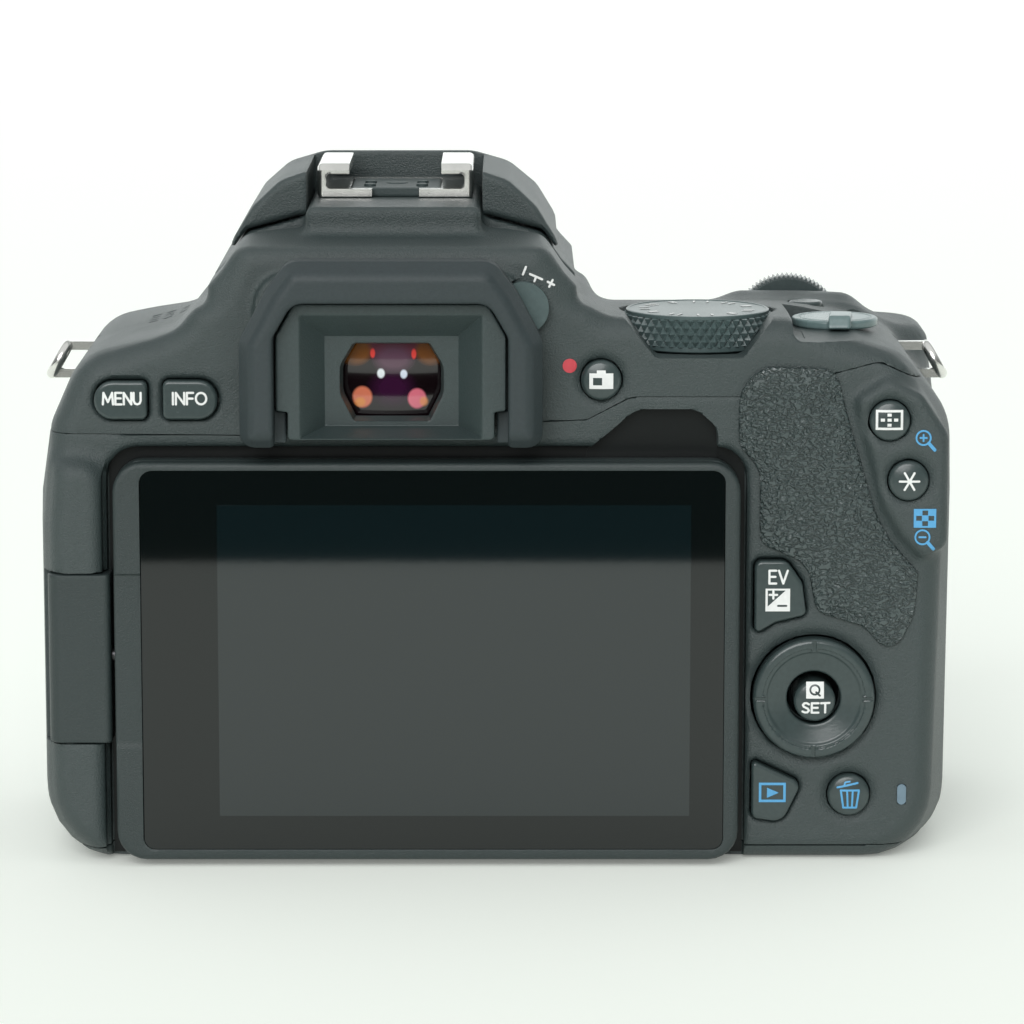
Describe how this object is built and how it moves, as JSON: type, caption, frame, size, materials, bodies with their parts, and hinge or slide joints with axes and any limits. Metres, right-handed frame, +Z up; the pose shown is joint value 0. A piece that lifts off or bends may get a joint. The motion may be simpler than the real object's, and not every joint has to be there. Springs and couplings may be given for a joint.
{
  "type": "dslr camera",
  "caption": "Digital SLR camera body with swing-out rear display, optical viewfinder, pop-up flash, lens mount throat, accessory shoe and working dials and buttons.",
  "frame": {"origin": "mouth of the tripod socket on the base plane, below the lens axis", "axes": "+X to the right seen from behind the camera, +Y out through the lens mount, +Z up"},
  "size_m": [0.1264, 0.071, 0.093],
  "materials": {
    "body_plastic": "fine textured",
    "grip_rubber": "leather grain",
    "eyecup_rubber": "soft matte",
    "bright_metal": "polished",
    "screw_steel": "blackened",
    "dial_plastic": "satin",
    "button_plastic": "semi-gloss",
    "inner_plastic": "flat black",
    "display_glass": "polished clear over black",
    "display_panel": "dark display",
    "mirror_glass": "front surface mirror",
    "clear_optics": "polished",
    "sensor_silicon": "coated",
    "board": "solder mask",
    "lamp_lens": "frosted"
  },
  "bodies": {
    "root": {"front_cover": "body_plastic", "rear_cover": "body_plastic", "top_cover": "body_plastic", "bottom_cover": "body_plastic", "thumb_rubber": "grip_rubber", "grip_rubber": "grip_rubber", "strap_lugs": "bright_metal", "case_screws": "screw_steel", "tripod_socket": "bright_metal", "eyepiece_frame": "inner_plastic", "eyepiece_lens": "clear_optics", "pentamirror": "clear_optics", "focusing_screen": "clear_optics", "mirror_box": "inner_plastic", "shutter_frame": "inner_plastic", "image_sensor": "sensor_silicon", "sensor_board": "board", "main_board": "board", "lens_mount_ring": "bright_metal", "lens_mount_screws": "screw_steel", "lens_contact_block": "inner_plastic", "hot_shoe_rails": "bright_metal", "hot_shoe_base": "inner_plastic", "access_lamp": "lamp_lens", "battery": "inner_plastic", "memory_card": "inner_plastic"},
    "screen_arm": {"screen_hinge_arm": "body_plastic", "screen_tilt_shaft": "screw_steel"},
    "screen": {"screen_back_shell": "body_plastic", "screen_bezel": "inner_plastic", "screen_glass": "display_glass", "lcd_panel": "display_panel"},
    "flash": {"flash_head": "body_plastic", "flash_window": "clear_optics"},
    "eyecup": {"eyecup": "eyecup_rubber"},
    "diopter_dial": {"diopter_dial": "dial_plastic"},
    "reflex_mirror": {"reflex_mirror": "mirror_glass"},
    "sub_mirror": {"sub_mirror": "mirror_glass"},
    "lens_lock_pin": {"lens_lock_pin": "bright_metal"},
    "lens_release_button": {"lens_release_button": "button_plastic"},
    "mode_dial": {"mode_dial": "dial_plastic"},
    "main_dial": {"main_dial": "dial_plastic"},
    "shutter_button": {"shutter_button": "button_plastic"},
    "power_switch": {"power_switch": "dial_plastic"},
    "iso_button": {"iso_button": "button_plastic"},
    "disp_button": {"disp_button": "button_plastic"},
    "menu_button": {"menu_button": "button_plastic"},
    "info_button": {"info_button": "button_plastic"},
    "live_view_button": {"live_view_button": "button_plastic"},
    "af_point_button": {"af_point_button": "button_plastic"},
    "ae_lock_button": {"ae_lock_button": "button_plastic"},
    "exposure_button": {"exposure_button": "button_plastic"},
    "cross_rocker": {"cross_key_plate": "inner_plastic"},
    "cross_keys": {"cross_key_pad": "button_plastic"},
    "set_button": {"set_button": "button_plastic"},
    "playback_button": {"playback_button": "button_plastic"},
    "erase_button": {"erase_button": "button_plastic"},
    "battery_door": {"battery_door": "body_plastic"},
    "battery_door_latch": {"battery_door_latch": "button_plastic"},
    "side_port_cover": {"side_port_cover": "grip_rubber"}
  },
  "joints": [
    {"name": "screen_swing", "type": "hinge", "parent": "root", "child": "screen_arm", "pos_m": [-0.0435, -0.0297, 0.0283], "axis": [0, 0, -1], "range_deg": [0, 175]},
    {"name": "screen_tilt", "type": "hinge", "parent": "screen_arm", "child": "screen", "pos_m": [-0.0435, -0.02855, 0.0283], "axis": [1, 0, 0], "range_deg": [-90, 180]},
    {"name": "flash_lift", "type": "hinge", "parent": "root", "child": "flash", "pos_m": [0, -0.0125, 0.0845], "axis": [1, 0, 0], "range_deg": [0, 60]},
    {"name": "eyecup_slide", "type": "slide", "parent": "root", "child": "eyecup", "axis": [0, 0, 1], "range_m": [0, 0.025]},
    {"name": "diopter_turn", "type": "hinge", "parent": "root", "child": "diopter_dial", "pos_m": [0.0174, -0.03, 0.0756], "axis": [0, 1, 0], "range_deg": [-135, 135]},
    {"name": "mirror_flip", "type": "hinge", "parent": "root", "child": "reflex_mirror", "pos_m": [0, -0.003, 0.047], "axis": [1, 0, 0], "range_deg": [0, 45]},
    {"name": "sub_mirror_fold", "type": "hinge", "parent": "reflex_mirror", "child": "sub_mirror", "pos_m": [0, 0.00414, 0.03717], "axis": [1, 0, 0], "range_deg": [0, 90]},
    {"name": "release_press", "type": "slide", "parent": "root", "child": "lens_release_button", "axis": [0, -1, 0], "range_m": [0, 0.0015], "stiffness_N_per_m": 500, "springref_m": -0.0008},
    {"name": "lock_pin_draw", "type": "slide", "parent": "root", "child": "lens_lock_pin", "axis": [0, -1, 0], "range_m": [0, 0.0015]},
    {"name": "mode_turn", "type": "hinge", "parent": "root", "child": "mode_dial", "pos_m": [0.0413, -0.014, 0.071], "axis": [0, 0, 1], "continuous": true},
    {"name": "main_dial_turn", "type": "hinge", "parent": "root", "child": "main_dial", "pos_m": [0.0556, 0.0195, 0.0666], "axis": [0, 1, 0], "continuous": true},
    {"name": "power_turn", "type": "hinge", "parent": "root", "child": "power_switch", "pos_m": [0.0603, -0.01, 0.0706], "axis": [0, 0, 1], "range_deg": [0, 50]},
    {"name": "shutter_press", "type": "slide", "parent": "root", "child": "shutter_button", "axis": [0, 0, -1], "range_m": [0, 0.001], "stiffness_N_per_m": 500, "springref_m": -0.0008},
    {"name": "iso_press", "type": "slide", "parent": "root", "child": "iso_button", "axis": [0, 0, -1], "range_m": [0, 0.0007], "stiffness_N_per_m": 500, "springref_m": -0.0008},
    {"name": "disp_press", "type": "slide", "parent": "root", "child": "disp_button", "axis": [0, 0, -1], "range_m": [0, 0.0007], "stiffness_N_per_m": 500, "springref_m": -0.0008},
    {"name": "menu_press", "type": "slide", "parent": "root", "child": "menu_button", "axis": [0, 1, 0], "range_m": [0, 0.0006], "stiffness_N_per_m": 500, "springref_m": -0.0008},
    {"name": "info_press", "type": "slide", "parent": "root", "child": "info_button", "axis": [0, 1, 0], "range_m": [0, 0.0006], "stiffness_N_per_m": 500, "springref_m": -0.0008},
    {"name": "live_view_press", "type": "slide", "parent": "root", "child": "live_view_button", "axis": [0, 1, 0], "range_m": [0, 0.0006], "stiffness_N_per_m": 500, "springref_m": -0.0008},
    {"name": "af_point_press", "type": "slide", "parent": "root", "child": "af_point_button", "axis": [0, 1, 0], "range_m": [0, 0.0006], "stiffness_N_per_m": 500, "springref_m": -0.0008},
    {"name": "ae_lock_press", "type": "slide", "parent": "root", "child": "ae_lock_button", "axis": [0, 1, 0], "range_m": [0, 0.0006], "stiffness_N_per_m": 500, "springref_m": -0.0008},
    {"name": "exposure_press", "type": "slide", "parent": "root", "child": "exposure_button", "axis": [0, 1, 0], "range_m": [0, 0.0006], "stiffness_N_per_m": 500, "springref_m": -0.0008},
    {"name": "set_press", "type": "slide", "parent": "root", "child": "set_button", "axis": [0, 1, 0], "range_m": [0, 0.0006], "stiffness_N_per_m": 500, "springref_m": -0.0008},
    {"name": "playback_press", "type": "slide", "parent": "root", "child": "playback_button", "axis": [0, 1, 0], "range_m": [0, 0.0006], "stiffness_N_per_m": 500, "springref_m": -0.0008},
    {"name": "erase_press", "type": "slide", "parent": "root", "child": "erase_button", "axis": [0, 1, 0], "range_m": [0, 0.0006], "stiffness_N_per_m": 500, "springref_m": -0.0008},
    {"name": "cross_rock_sideways", "type": "hinge", "parent": "root", "child": "cross_rocker", "pos_m": [0.0567, -0.0272, 0.0226], "axis": [0, 0, 1], "range_deg": [-2, 2], "stiffness_Nm_per_rad": 0.02},
    {"name": "cross_rock_upright", "type": "hinge", "parent": "cross_rocker", "child": "cross_keys", "pos_m": [0.0567, -0.0272, 0.0226], "axis": [1, 0, 0], "range_deg": [-2, 2], "stiffness_Nm_per_rad": 0.02},
    {"name": "battery_door_swing", "type": "hinge", "parent": "root", "child": "battery_door", "pos_m": [0.0515, 0.007, 0.001], "axis": [0, 1, 0], "range_deg": [0, 100]},
    {"name": "battery_latch_slide", "type": "slide", "parent": "battery_door", "child": "battery_door_latch", "axis": [-1, 0, 0], "range_m": [0, 0.0015]},
    {"name": "port_cover_swing", "type": "hinge", "parent": "root", "child": "side_port_cover", "pos_m": [-0.04725, 0.00935, 0.034], "axis": [0, 0, -1], "range_deg": [0, 100]}
  ],
  "couplings": [
    {"joint": "screen_tilt", "follows": "screen_swing", "ratio": 0.2},
    {"joint": "sub_mirror_fold", "follows": "mirror_flip", "ratio": 2},
    {"joint": "lock_pin_draw", "follows": "release_press", "ratio": 1}
  ]
}
